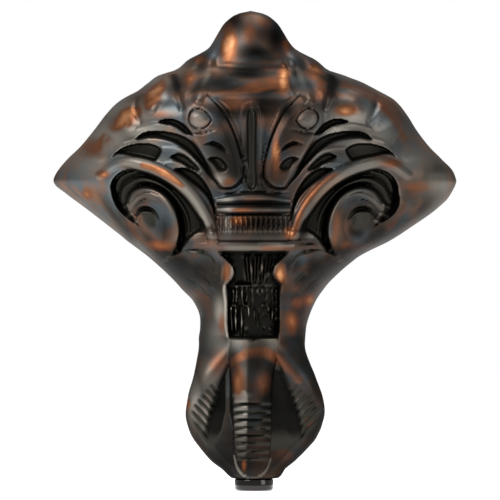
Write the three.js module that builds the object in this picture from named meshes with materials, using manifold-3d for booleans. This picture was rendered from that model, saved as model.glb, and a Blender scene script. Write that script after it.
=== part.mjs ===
// Cast claw and ball foot for a free-standing bathtub, with its levelling screw.
// Millimetres, +Z up. The front faces -Y, and the origin is the middle of the screw's lower face on the floor.

import * as THREE from "three";
import { mergeVertices } from "three/addons/utils/BufferGeometryUtils.js";
import Module from "manifold-3d";

// The main sizes. The tables and the carving below stretch to them.
const foot_width = 149.4;
const foot_depth = 73.8;          // without the bands, which stand further forward
const foot_top = 178;

// The casting's shell
const wall = 6;
const edge_land = 0.5;            // width of the blunt edge where the back is solid
const wing_bow = foot_width + 10.6; // width of the ellipse that the wings' front follows

// The web that hangs on the tub's stud. Its slot is open at the back, so that the foot slides onto the stud.
const web_top = 100;
const web_thickness = 8;
const web_back = 14;
const web_reach = 1.4;            // how far round the shell the web runs, in radians from the middle of the front
const stud_slot_width = 11;
const stud_slot_front = -17;

// The levelling screw and the bore that it runs in
const head_diameter = 14.4;
const head_height = 4.2;
const head_edge_radius = 1.4;
const shank_diameter = 8;
const shank_length = 26;
const shank_chamfer = 1;
const screw_gap = 0.3;            // all round the shank, and over the head
const bore_end_gap = 1.5;
const casting_bottom = head_height + screw_gap;

// The claws: three toes that grip the ball. The front toe has level rings down its length, and the side toes have
// rings that drop towards the front.
const lowest_ring = 12.3;
const ring_pitch = 2.9;
const front_rings = 8;
const ring_depth = 1;
const lowest_side_ring = 3.7;     // where the lowest ring would meet the middle
const side_ring_pitch = 3.4;
const side_rings = 7;
const side_ring_slope = 0.95;
const side_ring_fade = 2;         // the side rings run out over this width before the outline

// How far the carving goes in and out
const pocket_depth = 2.8;
const volute_depth = 4.5;
const volute_eye_depth = 3.6;
const flute_depth = 1.8;
const panel_depth = 2.4;
const leaf_height = 1.3;
const band_height = 2.2;
const collar_height = 1.4;
const lobe_height = 2.2;
const crease_depth = 2.6;

// How closely the surfaces are divided
const carved_spacing = 2.1;
const plain_spacing = 7;
const back_spacing = 12;
const snap_reach = 0.8;           // a place this close to a carved line moves onto it
const carved_from = 54;           // height above which the front has carved lines
const carved_angle = 54;          // degrees from the middle of the front, on the wings

const colours = { bronze: 0x2c2623, nickel: 0xb9b7b2 };

const wasm = await Module();
wasm.setup();

// Half the casting's width at each height, seen from the front
const half_width_points = [
  [4.5, 7.6], [5.2, 8.4], [6.5, 9.0], [8, 9.9], [10, 11.9], [12, 13.9], [16, 17.1], [20, 19.6], [25, 21.4],
  [30, 22.1], [35, 21.6], [40, 20.5], [45, 19.6], [50, 19.2], [55, 19.4], [60, 19.7], [64, 20.2], [70, 22.1],
  [75.3, 26], [80, 30.6], [84.2, 35.3], [88, 40.1], [93, 48.4], [100, 58.2], [105, 64.7], [110, 71], [113, 73.9],
  [115, 74.7], [117, 74.1], [120, 72.2], [123, 69.7], [127.5, 65.2], [134, 60], [140, 55.5], [145, 50.7],
  [148.7, 44.2], [151, 40], [154, 34.7], [156.3, 27.5], [160, 23], [162, 19.2], [164, 16], [166.3, 14.2],
  [170, 12], [173, 10.1], [175, 8], [176.5, 5.8], [177.5, 3.4], [178, 1.2],
];

// Where the front stands at each height, before its toes and carving
const front_points = [
  [4.5, -7.6], [5.2, -8.4], [6.5, -9.0], [8, -9.9], [10, -11.9], [12, -13.9], [16, -17.1], [20, -19.6], [25, -21.4],
  [30, -22.1], [35, -21.8], [40, -21], [45, -20.4], [50, -20.2], [55, -20.2], [60, -21], [65, -22.8], [70, -25.5],
  [75, -29], [80, -33], [84, -36.2], [88, -38.6], [94, -39.8], [100, -39.6], [110, -39], [120, -38.5], [130, -38.2],
  [138, -37.8], [142, -36.8], [145, -35], [147.5, -31.5], [149.5, -26.5], [152, -20.5], [154, -16.5], [156, -13.8],
  [158, -12.6], [162, -12], [166, -11.2], [170, -9.4], [174, -6.2], [176, -3.6], [177.4, -0.6], [178, 2.2],
];

// How far back the edge stands at each height
const edge_points = [
  [4.5, 0], [44, 0], [50, 2.4], [55, 6.4], [60, 11], [65, 15.5], [70, 19.5], [75, 23], [80, 26.5], [86, 30],
  [93, 33], [100, 34], [108, 33], [115, 30.5], [120, 28.5], [130, 24], [140, 19], [150, 14], [158, 10], [165, 7],
  [172, 4.6], [178, 3.2],
];

// How much of the back is hollow: 0 is solid and rounded, 1 is a shell of the full wall
const hollow_points = [[46, 0], [50, 0.14], [56, 0.5], [62, 0.88], [67, 1]];

// How much of the section is a wing: 0 is half an ellipse, and 1 is a flatter front that turns back at its edge
const wing_points = [[72, 0], [92, 1], [140, 1], [157, 0]];

// How far the front toe stands off the ball, and half its width
const toe_height_points = [
  [5.4, 0], [7, 1], [10, 2.4], [16, 4.4], [22, 5.6], [30, 6.2], [38, 6.4], [43, 6], [48, 4.4], [53, 1.8], [57, 0],
];
const toe_half_points = [
  [5.4, 1.6], [7, 4.2], [10, 6.2], [15, 7], [20, 7.4], [30, 7.8], [38, 8], [45, 8.8], [52, 10.5], [57, 12],
];

// How far each side toe stands off the ball, half its width, and its angle from the middle of the front
const side_toe_height_points = [
  [4.8, 0], [8, 1], [11.4, 2.3], [15.4, 2.4], [20, 2.9], [24, 4.3], [28, 5.6], [34, 6.3], [38, 6.4], [43, 6],
  [48, 4.4], [53, 1.8], [57, 0],
];
const side_toe_half_points = [[4.8, 8], [16, 11], [20, 8.4], [26, 7.8], [38, 8.1], [45, 8.8], [52, 10.5], [57, 12]];
const side_toe_angle_points = [[10, 90], [16, 88], [20, 80], [24.5, 69], [31, 61], [36, 57], [44, 52], [57, 50]];

// How close the rows are at each height
const row_spacing_points = [
  [4.5, 1.4], [12, 1.5], [36, 1.8], [46, 2.4], [86, 2.4], [92, 1.6], [108, 1.6], [116, 2], [144, 2], [150, 1.8],
  [160, 1.8], [172, 2.2], [176, 1], [178, 0.7],
];

const drawn_width = 2 * Math.max(...half_width_points.map((point) => point[1]));
const drawn_front = Math.min(...front_points.map((point) => point[1]));
const drawn_back = Math.max(...edge_points.map((point) => point[1]));
const width_stretch = foot_width / drawn_width;
const depth_stretch = foot_depth / (drawn_back - drawn_front);
const height_stretch = foot_top / half_width_points.at(-1)[0];

const half_width = smooth_profile(half_width_points, width_stretch);
const front_line = smooth_profile(front_points, depth_stretch);
const edge_line = smooth_profile(edge_points, depth_stretch);
const hollow_share = smooth_profile(hollow_points, 1);
const wing_share = smooth_profile(wing_points, 1);
const toe_height = smooth_profile(toe_height_points, depth_stretch);
const toe_half_width = smooth_profile(toe_half_points, width_stretch);
const side_toe_height = smooth_profile(side_toe_height_points, depth_stretch);
const side_toe_half_width = smooth_profile(side_toe_half_points, width_stretch);
const side_toe_angle = smooth_profile(side_toe_angle_points, 1);
const row_spacing = smooth_profile(row_spacing_points, height_stretch);

// A smooth curve through [height, value] points that never passes beyond them, with its values stretched
function smooth_profile(points, stretch) {
  const rises = points.slice(1).map(([z, value], i) => (value - points[i][1]) / (z - points[i][0]));
  const slopes = points.map((_, i) => {
    const below = rises[i - 1] ?? rises[i];
    const above = rises[i] ?? rises[i - 1];
    return below * above > 0 ? (2 * below * above) / (below + above) : 0;
  });
  const last = points.length - 1;
  return (height) => {
    const z = height / height_stretch;
    if (z <= points[0][0]) return points[0][1] * stretch;
    if (z >= points[last][0]) return points[last][1] * stretch;
    const i = points.findIndex((point) => point[0] > z) - 1;
    const span = points[i + 1][0] - points[i][0];
    const t = (z - points[i][0]) / span;
    const from_start = points[i][1] * (1 + 2 * t) * (1 - t) ** 2 + slopes[i] * span * t * (1 - t) ** 2;
    const from_end = points[i + 1][1] * t * t * (3 - 2 * t) - slopes[i + 1] * span * t * t * (1 - t);
    return (from_start + from_end) * stretch;
  };
}

// 0 below zero, 1 above one and a smooth rise between
function smooth_step(t) {
  const held = Math.min(Math.max(t, 0), 1);
  return held * held * (3 - 2 * held);
}

// Short straight pieces along a smooth line through [x, z] points
function smooth_line(points, closed) {
  const places = points.map(([x, z]) => new THREE.Vector3(x, 0, z));
  const curve = new THREE.CatmullRomCurve3(places, closed, "centripetal");
  const count = points.length * 4;
  const steps = Array.from({ length: count + 1 }, (_, i) => curve.getPoint(i / count));
  return steps.slice(1).map((end, i) => {
    const start = steps[i];
    const length = start.distanceTo(end);
    return { x: start.x, z: start.z, dx: end.x - start.x, dz: end.z - start.z, length, along: i / count };
  });
}

// The distance from a place to one short piece, and how far along the piece the nearest place lies
function reach(piece, x, z) {
  const across = (x - piece.x) * piece.dx + (z - piece.z) * piece.dz;
  const t = Math.min(Math.max(across / piece.length ** 2, 0), 1);
  return { distance: Math.hypot(x - piece.x - t * piece.dx, z - piece.z - t * piece.dz), t };
}

function is_inside(pieces, x, z) {
  let inside = false;
  for (const { x: from_x, z: from_z, dx, dz } of pieces) {
    const crosses = from_z > z !== from_z + dz > z;
    if (crosses && x < from_x + (dx * (z - from_z)) / dz) inside = !inside;
  }
  return inside;
}

// A field that is cut in or raised, with a wall of the same width all round
function field(points, height, edge) {
  const pieces = smooth_line(points, true);
  const lift = (x, z) => {
    if (!is_inside(pieces, x, z)) return 0;
    const nearest = Math.min(...pieces.map((piece) => reach(piece, x, z).distance));
    return height * smooth_step(nearest / edge);
  };
  return { pieces, lift };
}

// A ridge, or a groove where height is negative. Its half-widths are those at its start, middle and end.
function stroke(points, halves, height) {
  const pieces = smooth_line(points, false);
  const [first, middle, last] = halves;
  const lift = (x, z) => {
    let share = 0;
    for (const piece of pieces) {
      const { distance, t } = reach(piece, x, z);
      const along = 2 * (piece.along + t / pieces.length);
      const half = along < 1 ? first + (middle - first) * along : middle + (last - middle) * (along - 1);
      share = Math.max(share, Math.min(1, half / middle) * (1 - distance / half));
    }
    return height * share;
  };
  return { pieces, lift };
}

// The carving on one half of the front. The other half is its mirror image.
const shoulder_lobes = [
  stroke([[22, 161], [23, 155], [24, 150]], [3, 5, 2], lobe_height),
  stroke([[35, 155], [36, 149], [37.5, 142]], [3, 6.5, 3], lobe_height),
  stroke([[51, 145], [49, 140], [46, 136]], [3, 7, 3], lobe_height),
  stroke([[62, 132], [60, 128], [57, 124]], [3, 7, 3], lobe_height * 0.6),
  stroke([[29, 155], [28, 150], [26.5, 143]], [2, 3.5, 2], -lobe_height * 0.8),
  stroke([[14.5, 166], [16.5, 158], [19, 151], [20.5, 145]], [2, 5, 3], lobe_height),
];

const dome_crease = stroke([[-6, 158], [0, 157.6], [8, 158.2], [13, 160.4]], [2.4, 2.4, 1.6], -crease_depth);

const palmette = [
  field(
    [
      [20, 147.5], [14, 144.3], [9, 137], [5, 127], [3.6, 120], [4.4, 115], [8, 112], [12.4, 112.4], [15.5, 117],
      [20, 123.5], [24.5, 131], [27, 139], [25, 146],
    ],
    leaf_height, 1.2,
  ),
  stroke([[9, 126.2], [12, 128.2], [15, 128.8], [18.6, 128.4]], [0.8, 1.9, 0.8], -pocket_depth * 0.8),
  stroke([[9.4, 119.4], [12.6, 121], [16.8, 122.6]], [1.2, 2.8, 1], -pocket_depth * 0.9),
];

const outer_leaf = [
  stroke([[35, 136.6], [31, 137.2], [26.6, 134.8], [22.4, 131.6]], [0.8, 1.9, 1], -pocket_depth),
  stroke([[43.6, 130.6], [38, 132.2], [31, 131.6], [25, 128.6], [20, 123], [16, 118]], [1.2, 2.6, 1], -pocket_depth),
  stroke([[52.6, 123.4], [47, 126.4], [41, 126.2], [35.6, 125]], [1.2, 3, 2.6], -pocket_depth),
  stroke([[30.6, 123.8], [26, 123], [21.4, 120]], [1, 1.9, 0.9], -pocket_depth * 0.8),
  stroke([[29.4, 119.2], [24, 116.6], [19, 112.4], [15, 106.4]], [1.2, 2.6, 1], -pocket_depth),
];

const volute = [
  field(
    [
      [27, 88.4], [24.6, 92], [21.5, 95.2], [17.2, 96.6], [17.4, 98.8], [20.2, 102.4], [25, 107.6], [30, 112.2],
      [35, 116], [40, 118.5], [45, 119.6], [50, 119], [53.6, 116.2], [54.5, 111.5], [53.2, 107], [50.4, 102.8],
      [46.6, 99.6], [45.2, 102.4], [46, 106.2], [43.4, 109.6], [39, 110.8], [35, 109.8], [31.4, 106.8],
      [29, 102.6], [28.2, 97], [28.8, 91.5],
    ],
    -volute_depth, 3,
  ),
  field(
    [[44.4, 100.5], [43.2, 104], [39.6, 105.2], [36, 103.6], [34.4, 100], [35.4, 96.8], [38.6, 95], [42.4, 96.6]],
    -volute_eye_depth, 3,
  ),
];

const ridge_over_volute = stroke(
  [[56, 117.5], [50, 121.6], [43, 121], [36, 118.4], [30, 115.2], [24, 110.4], [18.6, 104], [15.8, 98], [14.6, 94]],
  [2, 3.2, 2.4], band_height,
);

const waist_bands = [
  stroke([[-6, 94.8], [6, 94.8], [14, 94.8], [22, 94.2]], [2, 2, 1.4], band_height),
  stroke([[-6, 90.6], [6, 90.6], [14, 90.8], [21, 90.8]], [2, 2, 1], band_height),
];

const collar_rings = [
  stroke([[-6, 108.8], [6, 108.8], [13.6, 108.6]], [2, 2, 1.2], collar_height),
  stroke([[-6, 104.6], [6, 104.6], [13.6, 104.6]], [2, 2, 1.2], collar_height),
];

const flute = [
  field([[0, 142.6], [2.6, 141.2], [3.8, 138], [3.6, 125], [3, 112], [0, 111], [-4, 126]], -flute_depth, 2),
];

const side_lobes = [
  stroke([[32, 87.8], [27, 89.8], [21, 90], [15.8, 87.4], [13.4, 82]], [1, 1.4, 1], -1),
  stroke([[20.4, 81.8], [18, 80.4], [16, 77.6], [15, 75]], [0.8, 1.5, 0.8], -1),
  stroke([[23.2, 78.6], [20.4, 76.8], [18, 74], [16.8, 71.6]], [0.8, 1.5, 0.8], -1),
];

const tassel_panel = [
  field(
    [
      [0, 88.6], [11.6, 88.6], [10.6, 86], [8.4, 83.8], [7.2, 81], [8.8, 78], [9.9, 75], [9.9, 66], [9, 58.6],
      [6, 56.4], [0, 56], [-4, 72],
    ],
    -panel_depth, 1.6,
  ),
  stroke([[-4, 76.8], [4, 76.8], [8.6, 76.8]], [1.6, 1.6, 1.2], 1),
];

const features = [
  ...shoulder_lobes, dome_crease, ...palmette, ...outer_leaf, ...volute, ridge_over_volute, ...waist_bands,
  ...collar_rings, ...flute, ...side_lobes, ...tassel_panel,
];

function carving(x, z) {
  const drawn_x = Math.abs(x) / width_stretch;
  const drawn_z = z / height_stretch;
  return features.reduce((sum, feature) => sum + feature.lift(drawn_x, drawn_z), 0);
}

// Moves a place onto the carving's nearest line where that is close, so that edges and creases stay crisp
function on_carved_line(x, z, limit) {
  const side = x < 0 ? -1 : 1;
  let best = { x, z, distance: limit };
  for (const piece of features.flatMap((feature) => feature.pieces)) {
    const { distance, t } = reach(piece, Math.abs(x) / width_stretch, z / height_stretch);
    const line_x = (piece.x + t * piece.dx) * width_stretch;
    const line_z = (piece.z + t * piece.dz) * height_stretch;
    if (distance < best.distance && line_x > 0) best = { x: side * line_x, z: line_z, distance };
  }
  return best;
}

// A ring's depth, from 0 between the rings to 1 in the middle of one, for a place counted in rings from the lowest
function ring_share(turns, rings) {
  const is_ringed = turns > -0.5 && turns < rings - 0.5;
  return is_ringed ? 0.5 + 0.5 * Math.cos(2 * Math.PI * turns) : 0;
}

// How far the front toe stands off the ball at an angle from the middle of the front, in radians
function front_toe_lift(angle, z) {
  const height = toe_height(z);
  const across = (Math.abs(angle) * (half_width(z) + height / 2)) / toe_half_width(z);
  if (across >= 1) return 0;
  const ring = ring_share((z - lowest_ring) / ring_pitch, front_rings);
  return height * (1 - across ** 2) ** 0.7 - ring_depth * ring * (1 - across ** 4);
}

// How far a side toe stands off the ball at an angle from the middle of the front, in radians
function side_toe_lift(angle, z) {
  const height = side_toe_height(z);
  const from_middle = Math.abs(angle) - THREE.MathUtils.degToRad(side_toe_angle(z));
  const across = (Math.abs(from_middle) * (half_width(z) + height / 2)) / side_toe_half_width(z);
  if (across >= 1) return 0;
  const stand = height * (1 - across ** 2.4) ** 0.8;
  const x = (half_width(z) + stand) * Math.sin(Math.abs(angle));
  const ring = ring_share((z - side_ring_slope * x - lowest_side_ring) / side_ring_pitch, side_rings);
  const fade = smooth_step((half_width(z) + height * 0.45 - x) / side_ring_fade);
  const is_front = Math.abs(angle) < Math.PI / 2;
  return stand - (is_front ? Math.min(ring_depth, stand) * ring * fade : 0);
}

function toe_lift(angle, z) {
  return Math.max(front_toe_lift(angle, z), side_toe_lift(angle, z), 0);
}

// How far forward the section stands at an angle: 1 is the middle of the front, and 0 is the edge
function section(angle, z) {
  const across = Math.sin(angle);
  const bow = Math.sqrt(1 - ((2 * half_width(z) * across) / wing_bow) ** 2);
  const wing = bow * Math.sqrt(Math.max(1 - across ** 8, 0));
  const share = wing_share(z);
  return wing * share + Math.cos(angle) * (1 - share);
}

// A place on the outside, at an angle from the middle of the front
function outer_place(angle, z) {
  const width = half_width(z);
  const depth = edge_line(z) - front_line(z);
  const toes = toe_lift(angle, z);
  const x = width * Math.sin(angle);
  const relief = carving(x, z) * smooth_step(6 * (1 - Math.abs(Math.sin(angle))));
  const y = edge_line(z) - depth * section(angle, z) - relief;
  return new THREE.Vector3(x + toes * Math.sin(angle), y - toes * Math.cos(angle), z);
}

// The outside places of one row, with those near a carved line moved onto it
function outer_chain(angles, z) {
  let previous = null;
  return angles.map((angle) => {
    const x = half_width(z) * Math.sin(angle);
    const is_carved = z > carved_from && Math.abs(angle) < 1.2 && Math.abs(x) > 0.1;
    const line = is_carved ? on_carved_line(x, z, snap_reach) : { x, z };
    const moved_angle = Math.asin(line.x / half_width(line.z));
    const moved = outer_place(is_carved ? moved_angle : angle, line.z);
    const is_crowded = previous && Math.hypot(moved.x - previous.x, moved.z - previous.z) < snap_reach / 2;
    previous = is_crowded ? outer_place(angle, z) : moved;
    return previous;
  });
}

// A place on the back, where across runs from -1 to 1
function back_place(across, z) {
  const hollow = hollow_share(z);
  const land = Math.min(edge_land + (wall - edge_land) * hollow, half_width(z) * 0.6);
  const angle = (across * Math.PI) / 2;
  const solid_bulge = half_width(z) * Math.cos(angle);
  const hollow_bulge = -Math.max(edge_line(z) - front_line(z) - wall, 0) * section(angle, z);
  const bulge = solid_bulge + (hollow_bulge - solid_bulge) * hollow;
  const toes = side_toe_lift(Math.PI - Math.abs(angle), z) * (1 - hollow);
  const x = (half_width(z) - land + toes) * Math.sin(angle);
  return new THREE.Vector3(x, edge_line(z) + bulge + toes * Math.cos(angle), z);
}

// The shares of a chain, from 0 to 1, that divide it by a step whose length is given at each place
function divide(start, end, step_at) {
  const shares = [];
  let place = start;
  while (place < end) {
    shares.push(place);
    place += step_at(place);
  }
  const spare = (end - place) / (place - start);
  const fitted = shares.map((share) => start + (share - start) * (1 + spare));
  return [...fitted, end];
}

// One row of the casting's surface: the front from left to right, then the back from right to left
function casting_row(z) {
  const size = (half_width(z) + edge_line(z) - front_line(z)) / 2;
  const plain_from = z > 75 ? THREE.MathUtils.degToRad(carved_angle) : Math.PI;
  const front_step = (angle) => (Math.abs(angle) > plain_from ? plain_spacing : carved_spacing) / size;
  const half_row = divide(0, Math.PI / 2, front_step);
  const angles = [...half_row.slice(1).reverse().map((angle) => -angle), ...half_row];
  const back_count = Math.max(4, 2 * Math.round((Math.PI * size) / back_spacing / 2));
  const across = Array.from({ length: back_count + 1 }, (_, i) => 1 - (2 * i) / back_count);
  return [outer_chain(angles, z), across.map((share) => back_place(share, z))];
}

// The heights of the rows, closest where the carving is finest
function row_heights() {
  const ring_rows = Array.from({ length: 2 * front_rings }, (_, i) => lowest_ring + (i * ring_pitch) / 2);
  const below = divide(casting_bottom, ring_rows[0], row_spacing).slice(0, -1);
  return [...below, ...ring_rows.slice(0, -1), ...divide(ring_rows.at(-1), foot_top, row_spacing)];
}

// Collects places and triangles for one closed body
class Body {
  places = [];
  triangles = [];

  add(place) {
    return this.places.push(place) - 1;
  }

  // Joins two chains of places that run the same way, the lower one first. Each cross edge is the one that
  // strays least from the surface, as long as neither chain runs ahead of the other.
  zip(lower, upper, stray) {
    let i = 0;
    let j = 0;
    while (i < lower.length - 1 || j < upper.length - 1) {
      const lead = (i + 1) / (lower.length - 1) - (j + 1) / (upper.length - 1);
      const limit = 1.2 / Math.max(lower.length - 1, upper.length - 1);
      let take_low = lead <= 0;
      if (Math.abs(lead) < limit && i < lower.length - 1 && j < upper.length - 1) {
        const low_stray = stray(this.places[lower[i + 1]], this.places[upper[j]]);
        const high_stray = stray(this.places[lower[i]], this.places[upper[j + 1]]);
        take_low = low_stray < high_stray;
      }
      if (j === upper.length - 1) take_low = true;
      if (i === lower.length - 1) take_low = false;
      if (take_low) {
        this.triangles.push([lower[i], lower[i + 1], upper[j]]);
        i += 1;
      } else {
        this.triangles.push([lower[i], upper[j + 1], upper[j]]);
        j += 1;
      }
    }
  }

  cap(ring, facing_up) {
    const centre = ring.reduce((sum, index) => sum.add(this.places[index]), new THREE.Vector3());
    const middle = this.add(centre.divideScalar(ring.length));
    ring.forEach((index, i) => {
      const next = ring[(i + 1) % ring.length];
      this.triangles.push(facing_up ? [index, next, middle] : [next, index, middle]);
    });
  }

  geometry() {
    const geometry = new THREE.BufferGeometry();
    const position = this.places.flatMap((place) => place.toArray());
    geometry.setAttribute("position", new THREE.Float32BufferAttribute(position, 3));
    geometry.setIndex(this.triangles.flat());
    return geometry;
  }
}

function edge_length(start, end) {
  return start.distanceTo(end);
}

// An edge's length, plus a penalty where its middle leaves the carved front
function stray_from_front(start, end) {
  const middle = start.clone().add(end).divideScalar(2);
  const share = middle.x / half_width(middle.z);
  const is_carved = middle.z > carved_from && Math.abs(share) < 0.95;
  const miss = is_carved ? Math.abs(outer_place(Math.asin(share), middle.z).y - middle.y) : 0;
  return edge_length(start, end) + 8 * miss;
}

// A closed body from rows of chains, one row above the other
function stack_of_rows(rows) {
  const body = new Body();
  const numbered = rows.map((chains) => chains.map((chain) => chain.map((place) => body.add(place))));
  const ring = (chains) => chains.flat();
  numbered.slice(1).forEach((upper, i) => {
    const lower = numbered[i];
    lower.forEach((chain, c) => {
      const next = (c + 1) % lower.length;
      body.zip(chain, upper[c], c === 0 ? stray_from_front : edge_length);
      body.zip([chain.at(-1), lower[next][0]], [upper[c].at(-1), upper[next][0]], edge_length);
    });
  });
  body.cap(ring(numbered[0]), false);
  body.cap(ring(numbered.at(-1)), true);
  return body.geometry();
}

function solid_from(geometry) {
  const bare = geometry.clone();
  bare.deleteAttribute("normal");
  bare.deleteAttribute("uv");
  const merged = mergeVertices(bare, 1e-4);
  return new wasm.Manifold(new wasm.Mesh({
    numProp: 3,
    vertProperties: new Float32Array(merged.attributes.position.array),
    triVerts: new Uint32Array(merged.index.array),
  }));
}

function geometry_from(solid) {
  const mesh = solid.getMesh();
  const geometry = new THREE.BufferGeometry();
  geometry.setAttribute("position", new THREE.Float32BufferAttribute(mesh.vertProperties, 3));
  geometry.setIndex(Array.from(mesh.triVerts));
  return geometry;
}

// The web across the hollow, with its outline halfway through the wall
function web_body() {
  const web_row = (z) => {
    const width = half_width(z) - wall / 2;
    const depth = edge_line(z) - front_line(z) - wall / 2;
    const count = 24;
    const arc = Array.from({ length: count + 1 }, (_, i) => {
      const angle = web_reach * ((2 * i) / count - 1);
      const y = edge_line(z) - depth * section(angle, z);
      return new THREE.Vector3(width * Math.sin(angle), Math.min(y, web_back), z);
    });
    return [arc, [arc.at(-1), arc[0]].map((place) => place.clone())];
  };
  const levels = 4;
  const rows = Array.from({ length: levels + 1 }, (_, i) => web_row(web_top - web_thickness * (1 - i / levels)));
  return stack_of_rows(rows);
}

function stud_slot() {
  const radius = stud_slot_width / 2;
  const overshoot = 1;
  const outline = new THREE.Shape();
  outline.absarc(0, stud_slot_front + radius, radius, Math.PI, 2 * Math.PI);
  outline.lineTo(radius, web_back + overshoot);
  outline.lineTo(-radius, web_back + overshoot);
  const slot = new THREE.ExtrudeGeometry(outline, {
    depth: web_thickness + 2 * overshoot, bevelEnabled: false, curveSegments: 10,
  });
  return slot.translate(0, 0, web_top - web_thickness - overshoot);
}

function screw_bore() {
  const radius = shank_diameter / 2 + screw_gap;
  const overshoot = 1;
  const height = shank_length + bore_end_gap + overshoot;
  const bore = new THREE.CylinderGeometry(radius, radius, height, 24);
  return bore.rotateX(Math.PI / 2).translate(0, 0, casting_bottom - overshoot + height / 2);
}

function casting() {
  const shell = stack_of_rows(row_heights().map(casting_row));
  const joined = solid_from(shell).add(solid_from(web_body()));
  return geometry_from(joined.subtract(solid_from(stud_slot())).subtract(solid_from(screw_bore())));
}

function levelling_screw() {
  const head_radius = head_diameter / 2;
  const shank_radius = shank_diameter / 2;
  const shank_end = head_height + shank_length;
  const lower_edge = [0, 1, 2, 3].map((i) => {
    const angle = (i / 3) * (Math.PI / 2);
    const inset = head_edge_radius * (1 - Math.sin(angle));
    return new THREE.Vector2(head_radius - inset, head_edge_radius * (1 - Math.cos(angle)));
  });
  const crown = 0.4;
  const profile = [
    new THREE.Vector2(0, 0),
    ...lower_edge,
    new THREE.Vector2(head_radius, head_height - crown),
    new THREE.Vector2(head_radius - crown, head_height),
    new THREE.Vector2(shank_radius, head_height),
    new THREE.Vector2(shank_radius, shank_end - shank_chamfer),
    new THREE.Vector2(shank_radius - shank_chamfer, shank_end),
    new THREE.Vector2(0, shank_end),
  ];
  return new THREE.LatheGeometry(profile, 32).rotateX(Math.PI / 2);
}

function mesh(name, geometry, colour, roughness) {
  const material = new THREE.MeshStandardMaterial({ color: colour, roughness, metalness: 1 });
  const part = new THREE.Mesh(geometry, material);
  part.name = name;
  return part;
}

const foot = new THREE.Group();
foot.add(mesh("foot_casting", casting(), colours.bronze, 0.4));
foot.add(mesh("levelling_screw", levelling_screw(), colours.nickel, 0.2));

export default foot;
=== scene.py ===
"""Claw and ball foot of cast metal with an oil-rubbed bronze finish, and its levelling screw, in a studio."""

import math

import bmesh
import bpy
import numpy as np
from mathutils import Matrix, Vector


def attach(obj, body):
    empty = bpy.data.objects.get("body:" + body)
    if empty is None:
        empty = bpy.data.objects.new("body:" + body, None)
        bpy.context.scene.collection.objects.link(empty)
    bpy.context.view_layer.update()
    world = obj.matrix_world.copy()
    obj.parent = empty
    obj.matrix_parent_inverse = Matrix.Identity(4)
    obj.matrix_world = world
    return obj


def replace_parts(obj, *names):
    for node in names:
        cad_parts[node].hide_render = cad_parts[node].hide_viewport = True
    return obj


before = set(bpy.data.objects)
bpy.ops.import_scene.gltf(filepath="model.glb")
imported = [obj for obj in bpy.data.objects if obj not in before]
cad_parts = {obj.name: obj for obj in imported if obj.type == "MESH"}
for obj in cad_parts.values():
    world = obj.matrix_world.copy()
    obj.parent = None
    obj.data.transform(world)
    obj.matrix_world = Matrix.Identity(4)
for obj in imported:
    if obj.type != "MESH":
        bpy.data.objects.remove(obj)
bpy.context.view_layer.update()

MM = 0.001

# The casting's main sizes, in millimetres
wall = 6
rim_radius = 1.6
wing_bow = 160          # width of the ellipse that the wings' front follows
waist_height = 92.8
casting_bottom = 4.5
foot_top = 178
tip_height = 1.4        # how far down from the top the dome draws in to its point
dome_lean = -1.2        # how far the dome leans to one side, as this casting's does

# The screw's bore and the flat round it
bore_radius = 4.3
bore_top = 32
bore_lip_width = 0.4
bore_lip_height = 0.5
underside_radius = 7.1

# Columns of the casting's surface on each side of the front's middle, and rows above and below the waist
front_columns = 190
rim_columns = 4
half_columns = 220
upper_rows = 158
lower_rows = 136
close_angle = 55        # the wings' columns lie closer within this many degrees of the middle of the front
outer_spacing = 1.5     # and this much further apart beyond it

# The web that the tub's stud passes through
web_top = 100
web_thickness = 8
web_back = 14
web_reach = 1.4         # how far round the shell it runs, in radians from the middle of the front
web_sink = 0.9          # how far into the shell's wall it goes, short of the deepest carving
web_steps = 49
stud_slot_width = 11
stud_slot_front = -17

# The levelling screw
head_diameter = 14.4
head_height = 4.45
head_edge_radius = 1.4
shank_diameter = 8
shank_end = 30.2
thread_pitch = 1.25
thread_depth = 0.7

# The claws: a front toe with level rings and a blunt ridge, and side toes whose rings drop towards the front
lowest_ring = 12.3
ring_pitch = 2.9
front_rings = 8
ring_depth = 1.1
ridge_offset = 2        # how far the front toe's ridge lies to one side of its middle
nail_top = 11.6
nail_step = 0.5
strip_middle = 9.7      # where a lighter strip of the ball shows between two toes
lowest_side_ring = 3.7
side_ring_pitch = 3.4
side_rings = 7
side_ring_slope = 0.95
side_ring_fade = 2

half_width_points = [
    (4.5, 7.6), (5.2, 8.4), (6.5, 9.0), (8, 9.9), (10, 11.9), (12, 13.9), (16, 17.1), (20, 19.6),
    (25, 21.4), (30, 22.1), (35, 21.6), (40, 20.5), (45, 19.6), (50, 19.2), (55, 19.4), (60, 19.7),
    (64, 20.2), (70, 22.1), (75.3, 26), (80, 30.6), (84.2, 35.3), (88, 40.1), (93, 48.4), (100, 58.2),
    (105, 64.7), (110, 71), (113, 73.9), (115, 74.7), (117, 74.1), (120, 72.2), (123, 69.7),
    (127.5, 65.2), (134, 60), (140, 55.5), (145, 50.7), (148.7, 44.2), (151, 40), (154, 34.7),
    (156.3, 27.5), (160, 23), (162, 19.2), (164, 16), (166.3, 14.2), (170, 12), (173, 10.1), (175, 8),
    (176.5, 5.8), (177.5, 3.4), (178, 1.2),
]

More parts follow.
